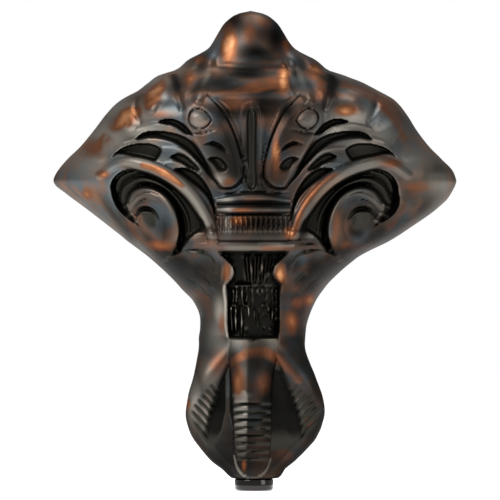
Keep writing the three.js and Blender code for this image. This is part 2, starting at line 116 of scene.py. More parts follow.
front_points = [
    (4.5, -7.6), (5.2, -8.4), (6.5, -9.0), (8, -9.9), (10, -11.9), (12, -13.9), (16, -17.1), (20, -19.6),
    (25, -21.4), (30, -22.1), (35, -21.8), (40, -21), (45, -20.4), (50, -20.2), (55, -20.2), (60, -21),
    (65, -22.8), (70, -25.5), (75, -29), (80, -33), (84, -36.2), (88, -38.6), (94, -39.8), (100, -39.6),
    (110, -39), (120, -38.5), (130, -38.2), (138, -37.8), (142, -36.8), (145, -35), (147.5, -31.5),
    (149.5, -26.5), (152, -20.5), (154, -16.5), (156, -13.8), (158, -12.6), (162, -12), (166, -11.2),
    (170, -9.4), (174, -6.2), (176, -3.6), (177.4, -0.6), (178, 2.2),
]

edge_points = [
    (4.5, 0), (44, 0), (50, 2.4), (55, 6.4), (60, 11), (65, 15.5), (70, 19.5), (75, 23), (80, 26.5), (86, 30),
    (93, 33), (100, 34), (108, 33), (115, 30.5), (120, 28.5), (130, 24), (140, 19), (150, 14), (158, 10),
    (165, 7), (172, 4.6), (178, 3.2),
]

hollow_points = [(46, 0), (50, 0.14), (56, 0.5), (62, 0.88), (67, 1)]

wing_points = [(72, 0), (92, 1), (140, 1), (157, 0)]

toe_height_points = [
    (5.4, 0), (7, 1), (10, 2.4), (16, 4.4), (22, 5.6), (30, 6.2), (38, 6.4), (43, 6), (48, 4.4),
    (53, 1.8), (57, 0),
]

toe_half_points = [
    (5.4, 1.6), (7, 4.2), (10, 6.2), (15, 7), (20, 7.4), (30, 7.8), (38, 8), (45, 8.8), (52, 10.5), (57, 12),
]

side_toe_height_points = [
    (4.8, 0), (8, 1), (11.4, 2.3), (15.4, 2.4), (20, 2.9), (24, 4.3), (28, 5.6), (34, 6.3), (38, 6.4),
    (43, 6), (48, 4.4), (53, 1.8), (57, 0),
]
side_toe_half_points = [(4.8, 8), (16, 11), (20, 8.4), (26, 7.8), (38, 8.1), (45, 8.8), (52, 10.5), (57, 12)]
side_toe_angle_points = [(10, 90), (16, 88), (20, 80), (24.5, 69), (31, 61), (36, 57), (44, 52), (57, 50)]

# How much fuller each side is than the drawn half width, which comes in over the outer part of the width
fullness_start = 0.55
left_fullness_points = [
    (4.5, 0.4), (8.5, 1), (12, 0.6), (20, 0.6), (24, 0), (32, -0.5), (38, -0.2), (44, 0.1), (50, 0.8),
    (56, 1.1), (60, 0.4), (65, -0.1), (70, 0.5), (75, 1.6), (80, 1.5), (88, 1.2), (91.6, 0.1), (95, -0.9),
    (102, -1.4), (110, -0.9), (114, 0.2), (120, 0), (132, -0.5), (142, -0.8), (148, -1.6), (151, -0.2),
    (155, 1.1), (160, 0.7), (165, 0), (178, 0),
]
right_fullness_points = [
    (4.5, 1.2), (6, 1.2), (8.5, 0.5), (11.5, 0), (14.5, 0.4), (19, 1), (26, 0.5), (34, 0.7), (42, 0.5),
    (47, 0), (53, -0.5), (60, -0.4), (66, 0.3), (71, 0.7), (78, 0.2), (86, 0.5), (89, 1.6), (92, 2.7),
    (98, 3.5), (103.5, 4.1), (107, 3.6), (110, 2.2), (112.5, 1), (116, 0.5), (119, 0.7), (123, 0),
    (132, 0.1), (139, 0.8), (146, 1.4), (151, 1.3), (154, -0.9), (158, 0.2), (178, 0),
]


def linear(hex_colour):
    """An sRGB hex colour as the linear values that Blender's shaders take."""
    channels = [((hex_colour >> shift) & 255) / 255 for shift in (16, 8, 0)]
    return (*(c / 12.92 if c <= 0.04045 else ((c + 0.055) / 1.055) ** 2.4 for c in channels), 1)


def smooth_profile(points):
    """A smooth curve through (height, value) points that never passes beyond them."""
    heights, values = np.array(points, float).T
    rises = np.diff(values) / np.diff(heights)
    below = np.concatenate([rises[:1], rises])
    above = np.concatenate([rises, rises[-1:]])
    total = np.where(below + above == 0, 1, below + above)
    slopes = np.where(below * above > 0, 2 * below * above / total, 0)

    def at(height):
        held = np.clip(height, heights[0], heights[-1])
        i = np.clip(np.searchsorted(heights, held, side="right") - 1, 0, len(heights) - 2)
        span = heights[i + 1] - heights[i]
        t = (held - heights[i]) / span
        from_start = values[i] * (1 + 2 * t) * (1 - t) ** 2 + slopes[i] * span * t * (1 - t) ** 2
        from_end = values[i + 1] * t * t * (3 - 2 * t) - slopes[i + 1] * span * t * t * (1 - t)
        return from_start + from_end

    return at


half_width = smooth_profile(half_width_points)
front_line = smooth_profile(front_points)
edge_line = smooth_profile(edge_points)
hollow_share = smooth_profile(hollow_points)
wing_share = smooth_profile(wing_points)
toe_height = smooth_profile(toe_height_points)
toe_half_width = smooth_profile(toe_half_points)
side_toe_height = smooth_profile(side_toe_height_points)
side_toe_half_width = smooth_profile(side_toe_half_points)
side_toe_angle = smooth_profile(side_toe_angle_points)
left_fullness = smooth_profile(left_fullness_points)
right_fullness = smooth_profile(right_fullness_points)


def smooth_step(t):
    """0 up to 0 and 1 from 1 on, with an easy rise between them."""
    held = np.clip(t, 0, 1)
    return held * held * (3 - 2 * held)


def smooth_line(points, closed):
    """Points along a smooth line through (x, z) points."""
    given = np.array(points, float)
    if closed:
        padded = np.concatenate([given[-1:], given, given[:2]])
    else:
        padded = np.concatenate([2 * given[:1] - given[1:2], given, 2 * given[-1:] - given[-2:-1]])
    line = []
    for i in range(len(padded) - 3):
        p0, p1, p2, p3 = padded[i:i + 4]
        t1 = math.dist(p0, p1) ** 0.5
        t2 = t1 + math.dist(p1, p2) ** 0.5
        t3 = t2 + math.dist(p2, p3) ** 0.5
        for t in np.linspace(t1, t2, 5)[:-1]:
            a1 = (t1 - t) / t1 * p0 + t / t1 * p1
            a2 = (t2 - t) / (t2 - t1) * p1 + (t - t1) / (t2 - t1) * p2
            a3 = (t3 - t) / (t3 - t2) * p2 + (t - t2) / (t3 - t2) * p3
            b1 = (t2 - t) / t2 * a1 + t / t2 * a2
            b2 = (t3 - t) / (t3 - t1) * a2 + (t - t1) / (t3 - t1) * a3
            line.append((t2 - t) / (t2 - t1) * b1 + (t - t1) / (t2 - t1) * b2)
    line.append(line[0] if closed else padded[-2])
    return np.array(line)


def reach(start, end, x, z):
    """Distances from places to one straight piece, and how far along it the nearest point lies."""
    step = end - start
    t = np.clip(((x - start[0]) * step[0] + (z - start[1]) * step[1]) / max(step @ step, 1e-9), 0, 1)
    return np.hypot(x - start[0] - t * step[0], z - start[1] - t * step[1]), t


def near(line, margin, x, z):
    """Which places lie in the box round a line."""
    low = line.min(0) - margin
    high = line.max(0) + margin
    return (x > low[0]) & (x < high[0]) & (z > low[1]) & (z < high[1])


def field(points, height, upper_wall, lower_wall=None):
    """A flat field, raised, or cut in where height is negative. Its upper and lower walls have their own
    widths."""
    line = smooth_line(points, True)
    lower_wall = lower_wall or upper_wall
    area = np.sum(line[:-1, 0] * line[1:, 1] - line[1:, 0] * line[:-1, 1])
    turn = 1 if area > 0 else -1

    def lift(x, z):
        result = np.zeros_like(x)
        picked = near(line, 0, x, z)
        px, pz = x[picked], z[picked]
        inside = np.zeros(len(px), bool)
        share = np.full(len(px), 9.0)
        for start, end in zip(line[:-1], line[1:]):
            step = end - start
            crosses = (start[1] > pz) != (end[1] > pz)
            rise = step[1] if step[1] else 1
            inside ^= crosses & (px < start[0] + step[0] * (pz - start[1]) / rise)
            facing_up = -turn * step[0] / max(math.hypot(*step), 1e-9)
            wall_width = lower_wall + (upper_wall - lower_wall) * (0.5 + 0.5 * facing_up)
            distance, _ = reach(start, end, px, pz)
            share = np.minimum(share, distance / wall_width)
        result[picked] = np.where(inside, height * smooth_step(share), 0)
        return result

    return lift


def stroke(points, halves, height, crispness=2):
    """A rounded ridge, or a groove where height is negative. It has three half-widths, from start to end."""
    line = smooth_line(points, False)
    first, middle, last = halves

    def lift(x, z):
        result = np.zeros_like(x)
        picked = near(line, max(halves), x, z)
        px, pz = x[picked], z[picked]
        share = np.zeros(len(px))
        count = len(line) - 1
        for i, (start, end) in enumerate(zip(line[:-1], line[1:])):
            distance, t = reach(start, end, px, pz)
            along = 2 * (i + t) / count
            half = np.interp(along, (0, 1, 2), (first, middle, last))
            across = np.clip(1 - (distance / half) ** 2, 0, 1)
            share = np.maximum(share, np.minimum(1, half / middle) * across ** crispness)
        result[picked] = height * share
        return result

    return lift


# The carving that is the same on both halves of the front, in millimetres from the middle and above the floor
leaf_outline = [
    (20, 150), (17, 146.4), (14, 143.4), (11.5, 140.8), (9, 136.5), (7, 132), (5, 126), (3.7, 120),
    (4, 116), (6, 113.3), (9, 112.2), (12, 112.5), (14, 115), (16.5, 120), (19.5, 124), (22, 128.6),
    (24.5, 132.6), (27, 139), (25, 146),
]
leaf_outer_line = [
    (16.5, 147), (12.5, 144.4), (9.6, 141.4), (7.4, 137.2), (5.4, 132.4), (3.9, 126), (2.7, 120), (2.5, 115),
    (5, 111.8), (9, 110.4), (12.6, 110.9),
]

leaf_boss = [
    (15.6, 137.3), (17.4, 140.2), (20.2, 141.6), (22.8, 140.8), (23.9, 138.6), (23.4, 136.2), (21.6, 134.6),
    (19.6, 134.2), (17.2, 135.2),
]

shoulder_lobes = [
    stroke([(21.5, 162), (23, 155), (24.5, 149)], (3, 4.6, 2), 2.4),
    stroke([(35, 155), (36.5, 149), (38, 142)], (3, 6.5, 3), 2.6),
    stroke([(51, 146), (49.5, 141), (46, 136)], (3, 6.6, 3), 2.6),
    stroke([(63, 133), (60.5, 128.6), (57, 124)], (3, 6.6, 3), 1.8),
    stroke([(29.6, 157), (28.6, 150), (26.4, 142)], (1.6, 2.6, 1.6), -2.2),
    stroke([(44.6, 149), (44, 142), (42, 136.5)], (1.2, 2.4, 1), -1.6),
    stroke([(57, 139), (55.2, 133.4), (51.6, 128)], (1, 2.2, 1), -1.4),
    stroke([(14.2, 167), (16.4, 158), (18.6, 151), (20.5, 145)], (1.6, 4.4, 2.6), 2.4),
]

crown = [
    stroke([(-6, 158.9), (0, 158.8), (7, 159), (11.4, 159.8)], (1, 1, 0.7), 0.5),
]

palmette = [
    field(leaf_outline, 1.2, 5, 0.8),
    stroke(leaf_outline[1:13], (0.6, 0.6, 0.45), -1.1),
    stroke(leaf_outer_line, (0.4, 0.5, 0.45), -0.6),
    field(leaf_boss, 0.8, 2.6),
    stroke([*leaf_boss, leaf_boss[0]], (0.45, 0.45, 0.45), -0.9),
    stroke([(22.6, 132.6), (18.6, 132.8), (14, 134)], (0.5, 0.9, 0.5), -0.9),
    field([(18.8, 128.4), (15, 129.9), (12, 128.8), (9.6, 126.2), (8.6, 124.6), (11.6, 125.8),
           (14.4, 127.2)], -2.3, 1, 1.6),
    field([(17.6, 123), (15, 124.1), (12, 123.6), (10, 121.8), (9, 119.8), (10.4, 118), (13.2, 118.2),
           (15, 120.4)], -2.4, 1, 2.4),
]

leaf_fingers = [
    field([(35.6, 136.8), (31, 138.2), (27, 137), (24, 134.6), (21.8, 131.6), (25.2, 132.2),
           (27.2, 133.6), (30, 135.2), (33.6, 135.8)], -2.6, 0.8, 1.2),
    field([(44.4, 130), (41.6, 132.7), (37, 133.7), (31, 133.2), (26, 131.8), (22, 129.2), (19, 125.2),
           (16.4, 120.6), (14.4, 116.5), (12, 113), (15.4, 115.2), (18.8, 119.4), (22.3, 123.3),
           (26.2, 126.8), (30, 128.9), (35, 130.1), (39, 130.2), (43, 129.6)], -2.7, 0.9, 1.8),
    field([(53.4, 122.8), (50, 126.7), (45, 128.6), (40, 129.1), (36, 128.3), (33.6, 126.5),
           (34.3, 124.3), (36.3, 121.9), (38, 122.3), (41, 123.1), (44, 123.6), (48, 124.3),
           (50.5, 124.4)], -2.7, 0.9, 1.5),
    field([(31.4, 123.8), (28, 125.4), (25, 124.5), (22, 122), (19.2, 118.7), (23, 118.7), (27, 121.2)],
           -2.4, 1, 1.6),
    field([(30.2, 119.2), (26, 120.1), (22, 118.8), (18.4, 115.6), (15.4, 110.8), (14, 106), (13.2, 101),
           (12.2, 97.4), (14.2, 100.6), (15.8, 105.6), (17.6, 109), (20, 111.6), (23, 114.1), (27, 117)],
           -2.8, 1, 1.6),
    stroke([(43, 134.4), (36, 135.6), (30, 134.8)], (0.8, 1.3, 0.8), 0.8),
    stroke([(48, 129.6), (42, 131), (36, 131.6), (28.6, 129.8)], (0.8, 1.2, 0.8), 0.7),
    stroke([(34.4, 127), (29.4, 126.8), (24.6, 125.4), (20.6, 121.6)], (0.8, 1.2, 0.8), 0.7),
    stroke([(33, 121.4), (28, 121.6), (23.6, 120.4), (19.4, 117)], (0.7, 1.1, 0.7), 0.7),
]

ridge_over_volute = [
    stroke([(57, 117), (51.7, 120.8), (46.8, 121.9), (41.8, 121), (36.8, 119.6), (31.9, 117.2), (26.9, 113.4),
            (22.6, 109.2), (19, 104.4), (16.4, 99.2), (15, 94)], (1.6, 3.1, 2.4), 2.3, 0.9),
]

volute = [
    field([(27, 88.4), (24.6, 92), (21.5, 95.2), (17.4, 97.2), (18, 100), (20.6, 103), (24.4, 108.4),
           (28.5, 112.6), (31.9, 115), (36.8, 117.5), (41.8, 119.1), (45.1, 119.6), (48.7, 118.9),
           (51.7, 116.6), (53.2, 113.6), (53, 109.6), (52, 105.6), (49.7, 102.4), (46.8, 100),
           (44.1, 98.4), (41.8, 97.3), (43.6, 99.8), (45, 102.2), (46.6, 104.6), (46.6, 107.6),
           (44.6, 110.9), (39.4, 112.4), (34, 110.4), (30.2, 106.4), (28.2, 101.6), (27.6, 96.4),
           (28.6, 91)], -3, 1.1, 1.4),
    stroke([(46.9, 107.4), (45, 111.4), (39.8, 113.3), (33.6, 111.4), (29.4, 106.8), (27.2, 101.2),
            (26.4, 95.6), (27, 91), (29.2, 88.4)], (1, 1.7, 1.2), -1.4),
    stroke([(49, 107.6), (47.6, 112.4), (41.8, 115.4), (35, 113.8), (28.6, 108.6), (24.6, 102),
            (23.8, 96)], (0.9, 1.5, 0.8), 1.1),
    stroke([(50.4, 110.4), (48, 115.2), (42, 117.1), (35.4, 115.2), (30, 111.6)], (0.6, 0.8, 0.5), -0.7),
    stroke([(51.2, 111.6), (48.8, 116.4), (42.2, 118.3), (36, 116.4)], (0.5, 0.8, 0.5), 0.7),
    stroke([(51.4, 115.4), (52, 111.6), (50.8, 107), (48.6, 103.4)], (0.8, 1.6, 1), -1),
    stroke([(45.8, 105.2), (43.6, 108.6), (39.2, 110.1), (35.2, 108.7), (32.2, 105.3), (30.7, 101.2),
            (30.4, 96.6), (31.2, 91.7)], (1, 2.8, 3), 0.9, 0.8),
    stroke([(45.4, 107), (43, 109.8), (39, 111), (35, 109.8)], (0.3, 0.5, 0.3), -0.6),
    stroke([(44.2, 105.6), (42, 107.6), (38.8, 108.4), (35.6, 107.4)], (0.3, 0.55, 0.3), -0.7),
    field([(44, 104), (41.8, 105.6), (39.6, 105.8), (36.8, 105), (34.7, 102.6), (33.8, 99), (34.2, 96),
           (36, 93.8), (39.6, 93.6), (42.6, 96.6), (43.8, 100)], -1.3, 0.8, 9),
    stroke([(43.8, 102.4), (42.2, 104.2), (39.6, 104.8), (37, 103.8), (35.3, 101.4)], (0.9, 1.5, 0.7),
            -1.9),
    stroke([(27.6, 90.6), (29.2, 87.6), (32, 85.2), (35.8, 83)], (1.2, 1, 0.4), -1.4, 1),
    stroke([(47.2, 106.4), (48, 105.6), (48.7, 104.6)], (0.7, 1.1, 0.7), 1.6),
    stroke([(45.3, 103), (46.3, 102.4), (47.2, 101.9)], (0.8, 1.35, 0.8), 2.1),
    stroke([(43.2, 100.6), (44, 100), (44.8, 99.6)], (0.7, 1.1, 0.7), 1.9),
    stroke([(20.4, 96.6), (18.6, 98.2), (20.4, 101.4)], (0.9, 1.4, 0.9), 1.2),
]

collar = [
    stroke([(-6, 108.8), (0, 108.9), (6, 108.7), (13.4, 107.8)], (1.9, 1.9, 1), 1.7, 1.2),
    stroke([(-6, 104.5), (6, 104.5), (13.2, 104.4)], (1.7, 1.7, 1.2), 1.7, 1.2),
    stroke([(-6, 106.5), (6, 106.5), (13.6, 106.3)], (0.7, 0.7, 0.5), -1),
    stroke([(-6, 102.6), (6, 102.6), (13.6, 102.4)], (0.7, 0.7, 0.5), -1.1),
    stroke([(-6, 110.9), (4, 110.8), (10, 110.2)], (0.7, 0.7, 0.4), -0.8),
]
collar_reeds = [
    stroke([(x, 96.8), (x * 0.995, 99.6), (x * 0.99, 102)], (0.8, 0.92, 0.8), 1.1)
    for x in (0.93, 2.79, 4.65, 6.51, 8.37, 10.23, 12.09)
]

waist_bands = [
    stroke([(-6, 95.1), (6, 95.1), (14, 95.1), (21.4, 94.8)], (2.25, 2.25, 1.2), 1.2, 0.5),
    stroke([(-6, 90.6), (6, 90.6), (14, 90.9), (21, 91)], (1.9, 1.9, 0.9), 1.2, 0.5),
    stroke([(-6, 88.6), (6, 88.6), (13, 88.8)], (0.5, 0.5, 0.4), -1.2),
]

side_lobes = [
    stroke([(24, 74), (23.4, 79), (22.6, 84)], (5, 8.4, 5), 1.4, 1.2),
    stroke([(31.5, 86.8), (29, 88.3), (24.5, 89.3), (19.5, 89.1), (16.5, 87.6), (14.6, 85), (14, 81.5)],
           (0.7, 1.1, 0.8), -1.3),
    stroke([(20.5, 81.6), (18.5, 80.9), (16.5, 78.5), (15, 75.5)], (0.7, 1.2, 0.6), -1.3),
    stroke([(23.2, 78.6), (20.2, 77), (18, 74.5), (16.9, 72.2)], (0.7, 1.1, 0.6), -1.2),
    stroke([(26.4, 76.4), (23, 74.6), (20.4, 71.6)], (0.5, 0.9, 0.5), -0.8),
    stroke([(12.6, 86.6), (11.4, 83), (11.6, 79), (12.6, 75)], (0.7, 1.3, 0.7), 0.9),
]

tassel_panel = [
    field([(-6, 88.7), (3, 88.7), (12.6, 88.8), (13, 88.5), (10.5, 86), (8.5, 84.1), (7.6, 82.2),
           (7.4, 80.8), (8, 79.2), (10.1, 76.7), (10.3, 76.3), (9.9, 73.6), (9.8, 66), (9.7, 60),
           (9.3, 57.3), (9, 56.9), (3, 56.6), (-6, 56.6)], -3.6, 0.8, 1),
]
# The tassel's threads: the fan below the waist, the band round them and the tangle that hangs below
tassel_centre = 0.9
tassel_fan = [
    stroke([(tassel_centre + narrowing * place, z) for narrowing, z in ((0.8, 78), (0.86, 82.4), (1, 87.2))],
           (0.36, 0.46, 0.4), 1.3 * height, 1)
    for place, height in (
        (-5, 0.8), (-3.5, 1.6), (-2, 1.4), (-0.5, 1.7), (1, 1.3), (2.5, 1.6), (4, 1.2), (5.4, 1),
    )
]
tassel_tangle = [
    stroke(points, (0.4, half, 0.4), 1.4 * height, 1)
    for half, height, points in (
        (0.45, 1.7, [(-7.1, 76.2), (-4, 76.4), (-1.4, 76.2)]),
        (0.4, 0.9, [(-0.8, 76), (3, 76.1), (6.8, 76)]),
        (0.45, 1.4, [(-7.6, 75), (-7.4, 72), (-7.7, 70)]),
        (0.5, 1.6, [(-6.2, 75.6), (-6.3, 73), (-6.5, 70)]),
        (0.6, 1.5, [(-4.2, 75.8), (-4.3, 73), (-4, 69.6)]),
        (0.4, 1.2, [(-2.5, 75.4), (-2.4, 73), (-2.7, 70.4)]),
        (0.35, 0.8, [(-0.6, 75), (-0.7, 72), (-0.4, 70)]),
        (0.4, 1, [(1.8, 75.2), (1.2, 74.3), (1.9, 73.3)]),
        (0.4, 1, [(2.8, 75.2), (3.4, 74.3), (2.7, 73.3)]),
        (0.3, 0.7, [(4.8, 75), (4.9, 73), (4.6, 71)]),
        (0.4, 1.3, [(-8.2, 68.6), (-7.4, 69), (-6.4, 68.6)]),
        (0.45, 1.6, [(-8.4, 68), (-8.2, 64), (-8, 59.8)]),
        (0.5, 1.7, [(-6.6, 68), (-6.7, 64), (-6.6, 59.8)]),
        (0.55, 1.4, [(-4.6, 68.4), (-4.4, 64), (-4.6, 58.4)]),
        (0.4, 1.3, [(-3.4, 68.9), (-2.2, 68.6), (-1.8, 65)]),
        (1.2, 0.7, [(-3.2, 62), (-3, 60.4), (-3.1, 58.8)]),
        (0.35, 1.2, [(0.3, 67.6), (0.2, 65.4), (0.4, 63)]),
        (0.35, 0.8, [(1.8, 67), (2.1, 64), (1.8, 61)]),
        (0.4, 1, [(3.4, 69), (5, 68.6), (5.6, 66.8)]),
        (0.4, 0.9, [(3.6, 65.4), (4.6, 65.9), (5.4, 65.2)]),
        (0.35, 1, [(6.8, 75), (7, 70), (6.8, 64)]),
        (0.35, 1, [(8.3, 74.6), (8.4, 70), (8.3, 63.6)]),
        (0.6, 1, [(3.6, 61.4), (3.9, 60.8), (4.1, 60.2)]),
        (0.5, 1, [(5.8, 60.8), (6, 60.3), (6.2, 59.8)]),
    )
]

mirrored_carving = [
    *crown, *palmette, *leaf_fingers, *ridge_over_volute, *volute, *collar, *collar_reeds,
    *waist_bands, *side_lobes, *tassel_panel,
]

# What isn't the same on both sides
middle_carving = [
    field([(-0.7, 142.8), (1.1, 141.8), (1.8, 138.6), (1.8, 132), (1.7, 122), (1.6, 113), (-0.7, 110.8),
           (-2.9, 113), (-3, 122), (-3.1, 132), (-3.1, 138.6), (-2.4, 141.8)], -1.7, 2, 1.6),
    stroke([(-0.7, 143.9), (1.8, 142.9), (2.8, 139.6), (2.8, 132), (2.7, 122), (2.5, 113)],
           (0.7, 1, 0.9), 0.7),
    stroke([(-0.7, 143.9), (-3, 142.9), (-4, 139.6), (-4, 132), (-3.9, 122), (-3.6, 113)],
           (0.7, 0.9, 0.8), 0.6),
    stroke([(11.6, 158), (12.4, 154), (12.8, 150), (14.6, 147.4)], (0.8, 1.3, 0.8), 1),
    stroke([(34, 149), (42, 146), (50, 141.6), (54, 139)], (0.8, 1.8, 0.8), 1),
    stroke([(13.4, 92.6), (17, 92.4), (22.4, 92)], (0.4, 0.8, 0.8), -0.8),
    stroke([(-8, 83), (-8.2, 79.6), (-10.6, 76.4), (-10.4, 70), (-10.5, 62), (-9.8, 57.8)],
           (0.4, 0.6, 0.5), 0.5),
    *tassel_fan, *tassel_tangle,
]


def carving(x, z):
    """The height of the relief, and how dark its cuts are, with their dark patina and painted shade. What is
    raised inside a cut stays brighter, and the hollows between the shoulders' lobes are hardly darker."""
    total = np.zeros_like(x)
    cut = np.zeros_like(x)
    for places, lifts, darkening, brightening in (
        (np.abs(x), shoulder_lobes, 0.12, 0),
        (np.abs(x), mirrored_carving, 1, 0.5),
        (x, middle_carving, 1, 2.8),
    ):
        for lift in lifts:
            height = lift(places, z)
            total += height
            cut += np.where(height < 0, -darkening * height, -brightening * height)
    return total, np.maximum(cut, 0)


def ring_share(turns, rings, narrowness):
    """A groove's depth, from 0 on a ring to 1 between two, at places counted in rings from the lowest."""
    ringed = (turns > -0.5) & (turns < rings - 0.5)
    return np.where(ringed, (0.5 + 0.5 * np.cos(2 * math.pi * turns)) ** narrowness, 0)


def front_toe_lift(angle, z):
    """The front toe's height off the ball and its rings' depth, at an angle from the middle of the front."""
    height = toe_height(z)
    from_ridge = angle * (half_width(z) + height / 2) + ridge_offset
    half = toe_half_width(z) + np.where(from_ridge < 0, -0.3, 1) * ridge_offset
    across = np.clip(np.abs(from_ridge) / half, 0, 1)
    stand = height * (1 - across ** 1.4) ** 0.6
    turns = (z + 0.12 * (height - stand) - lowest_ring) / ring_pitch
    ring = ring_depth * ring_share(turns, front_rings, 3 - 2.2 * across) * (1 - across ** 6)
    nail = smooth_step((0.8 - across) / 0.12) * smooth_step((z - 5.4) / 1.4) * smooth_step(nail_top - z)
    return stand - ring - nail_step * nail, ring


def side_toe_lift(angle, z):
    """A side toe's height off the ball and its rings' depth, at an angle from the middle of the front."""
    height = side_toe_height(z)
    around = np.abs(angle)
    from_middle = around - np.radians(side_toe_angle(z))
    across = np.clip(np.abs(from_middle) * (half_width(z) + height / 2) / side_toe_half_width(z), 0, 1)
    stand = height * (1 - across ** 2.4) ** 0.8
    x = (half_width(z) + stand) * np.sin(around)
    ring = ring_share((z - side_ring_slope * x - lowest_side_ring) / side_ring_pitch, side_rings, 1.5)
    limit = half_width(z) + height * 0.45 - 0.7 * np.maximum(z - 31, 0)
    fade = smooth_step((limit - x) / side_ring_fade)
    ring = np.where(around < math.pi / 2, np.minimum(ring_depth, stand) * ring * fade, 0)
    return stand - ring, ring


def toe_lift(angle, z):
    """How far the toes stand off the ball, and how deep their rings are."""
    front, front_ring = front_toe_lift(angle, z)
    side, side_ring = side_toe_lift(angle, z)
    return np.maximum(np.maximum(front, side), 0), np.where(front > side, front_ring, side_ring)


def valley_painted_shade(x, z, toes):
    """How much painted shade darkens the ball between the toes, more on the right side, away from the light.
    Only a strip of the ball there stays lighter.
    """
    strip_half_width = np.interp(z, (18, 23, 30), (4, 1.8, 0.3))
    strip = smooth_step((np.abs(np.abs(x) - strip_middle) - strip_half_width) / 0.8)
    strip = np.where(x < 0, strip, np.maximum(strip, 0.85))
    depth = smooth_step((1.6 - toes) / 1.6) * strip
    return depth * smooth_step((z - 13) / 14) * smooth_step((47 - z) / 3)


def section(angle, z):
    """How far forward the section stands at an angle: 1 is the middle of the front, and 0 is the edge."""
    across = np.sin(angle)
    bow = np.sqrt(1 - (2 * half_width(z) * across / wing_bow) ** 2)
    wing = bow * np.sqrt(np.clip(1 - across ** 8, 0, 1))
    share = wing_share(z)
    return wing * share + np.cos(angle) * (1 - share)


def front_place(angle, z, rim):
    """Places on the front, and the height of the relief there, at an angle from the middle of the front."""
    width = half_width(z)
    edge = edge_line(z) - rim
    toes, rings = toe_lift(angle, z)
    x = width * np.sin(angle)
    fade = smooth_step(6 * (1 - np.abs(np.sin(angle))))
    relief, cut = carving(x, z)
    y = edge - (edge - front_line(z)) * section(angle, z) - relief * fade
    # The cuts' darkness takes in the rings' grooves and the painted shade between the toes
    cut = cut * fade + 1.1 * rings + 5 * valley_painted_shade(x, z, toes)
    return x + toes * np.sin(angle), y - toes * np.cos(angle), relief * fade + toes - toe_height(z), cut


def casting_surface(column, z):
    """Places on the casting's surface. Columns run from the middle of the front to the middle of the back."""
    side = np.where(column < 0, -1.0, 1.0)
    across = np.abs(column)
    hollow = hollow_share(z)
    width = half_width(z)
    rim = np.minimum(rim_radius * hollow, width * 0.3)
    land = np.minimum(wall * hollow, width * 0.6)

    coarser = 1 + outer_spacing * smooth_step((z - 86) / 14)
    turned = np.minimum(across / front_columns, 1) * (close_angle + (90 - close_angle) / coarser)
    angle = np.radians(np.where(turned < close_angle, turned, close_angle + (turned - close_angle) * coarser))
    x, y, relief, cut = front_place(side * angle, z, rim)

    bend = np.clip((across - front_columns) / rim_columns, 0, 1) * math.pi / 2
    on_rim = across > front_columns
    x = np.where(on_rim, side * (width - rim * (1 - np.cos(bend))), x)
    y = np.where(on_rim, edge_line(z) - rim + rim * np.sin(bend), y)

    back_start = front_columns + rim_columns + 1
    back_turn = np.clip((half_columns - across) / (half_columns - back_start), 0, 1) * math.pi / 2
    solid_bulge = width * np.cos(back_turn)
    hollow_bulge = -np.maximum(edge_line(z) - front_line(z) - wall, 0) * section(back_turn, z)
    bulge = solid_bulge + (hollow_bulge - solid_bulge) * hollow
    on_back = across >= back_start
    toes = side_toe_lift(math.pi - back_turn, z)[0] * (1 - hollow)
    x = np.where(on_back, side * (width - land + toes) * np.sin(back_turn), x)
    y = np.where(on_back, edge_line(z) + bulge + toes * np.cos(back_turn), y)
    fullness = np.where(column < 0, left_fullness(z), right_fullness(z))
    x = x + side * fullness * smooth_step((np.abs(x) / width - fullness_start) / (1 - fullness_start))
    return x, y, np.where(on_rim, 0, relief), np.where(on_rim, 0, cut)


def closed_ends(x, y, z, row):
    """Draws the top rows in to a point, and turns the lowest rows into the underside and the screw's bore."""
    middle_y = edge_line(foot_top)
    near_top = np.clip(1 - (foot_top - z) / tip_height, 0, 1)
    tip = np.sqrt(1 - near_top ** 2)
    x = x * tip
    y = middle_y + (y - middle_y) * tip
    radius = np.maximum(np.hypot(x, y), 1e-6)
    for index, ring_radius, ring_height in (
        (0, 0, bore_top),
        (1, bore_radius, bore_top),
        (2, bore_radius, casting_bottom + bore_lip_height),
        (3, bore_radius + bore_lip_width, casting_bottom),
        (4, underside_radius, casting_bottom),
    ):
        chosen = row == index - lower_rows
        x = np.where(chosen, x / radius * ring_radius, x)
        y = np.where(chosen, y / radius * ring_radius, y)
        z = np.where(chosen, ring_height, z)
    return x, y, z


def spread(share, places):
    """Heights at shares of the rows, with straight runs between the given (share, height) places."""
    return np.interp(share, *np.array(places, float).T)


def finished_object(name, bm, body, material):
    """Makes an object of a finished mesh, which rides on its body and has its slot."""
    mesh = bpy.data.meshes.new(name)
    bm.to_mesh(mesh)
    bm.free()
    mesh.shade_smooth()
    mesh.set_sharp_from_angle(angle=math.radians(60))
    piece = bpy.data.objects.new(name, mesh)
    bpy.context.scene.collection.objects.link(piece)
    mesh.materials.append(material)
    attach(piece, body)
    return piece


def blurred(values, radius):
    """Values on a grid, each averaged over the square around it."""
    for axis in (0, 1):
        padding = [(radius + 1, radius) if a == axis else (0, 0) for a in (0, 1)]
        total = np.cumsum(np.pad(values, padding, mode="edge"), axis=axis)
        upper = np.take(total, range(2 * radius + 1, total.shape[axis]), axis=axis)
        lower = np.take(total, range(0, total.shape[axis] - 2 * radius - 1), axis=axis)
        values = (upper - lower) / (2 * radius + 1)
    return values


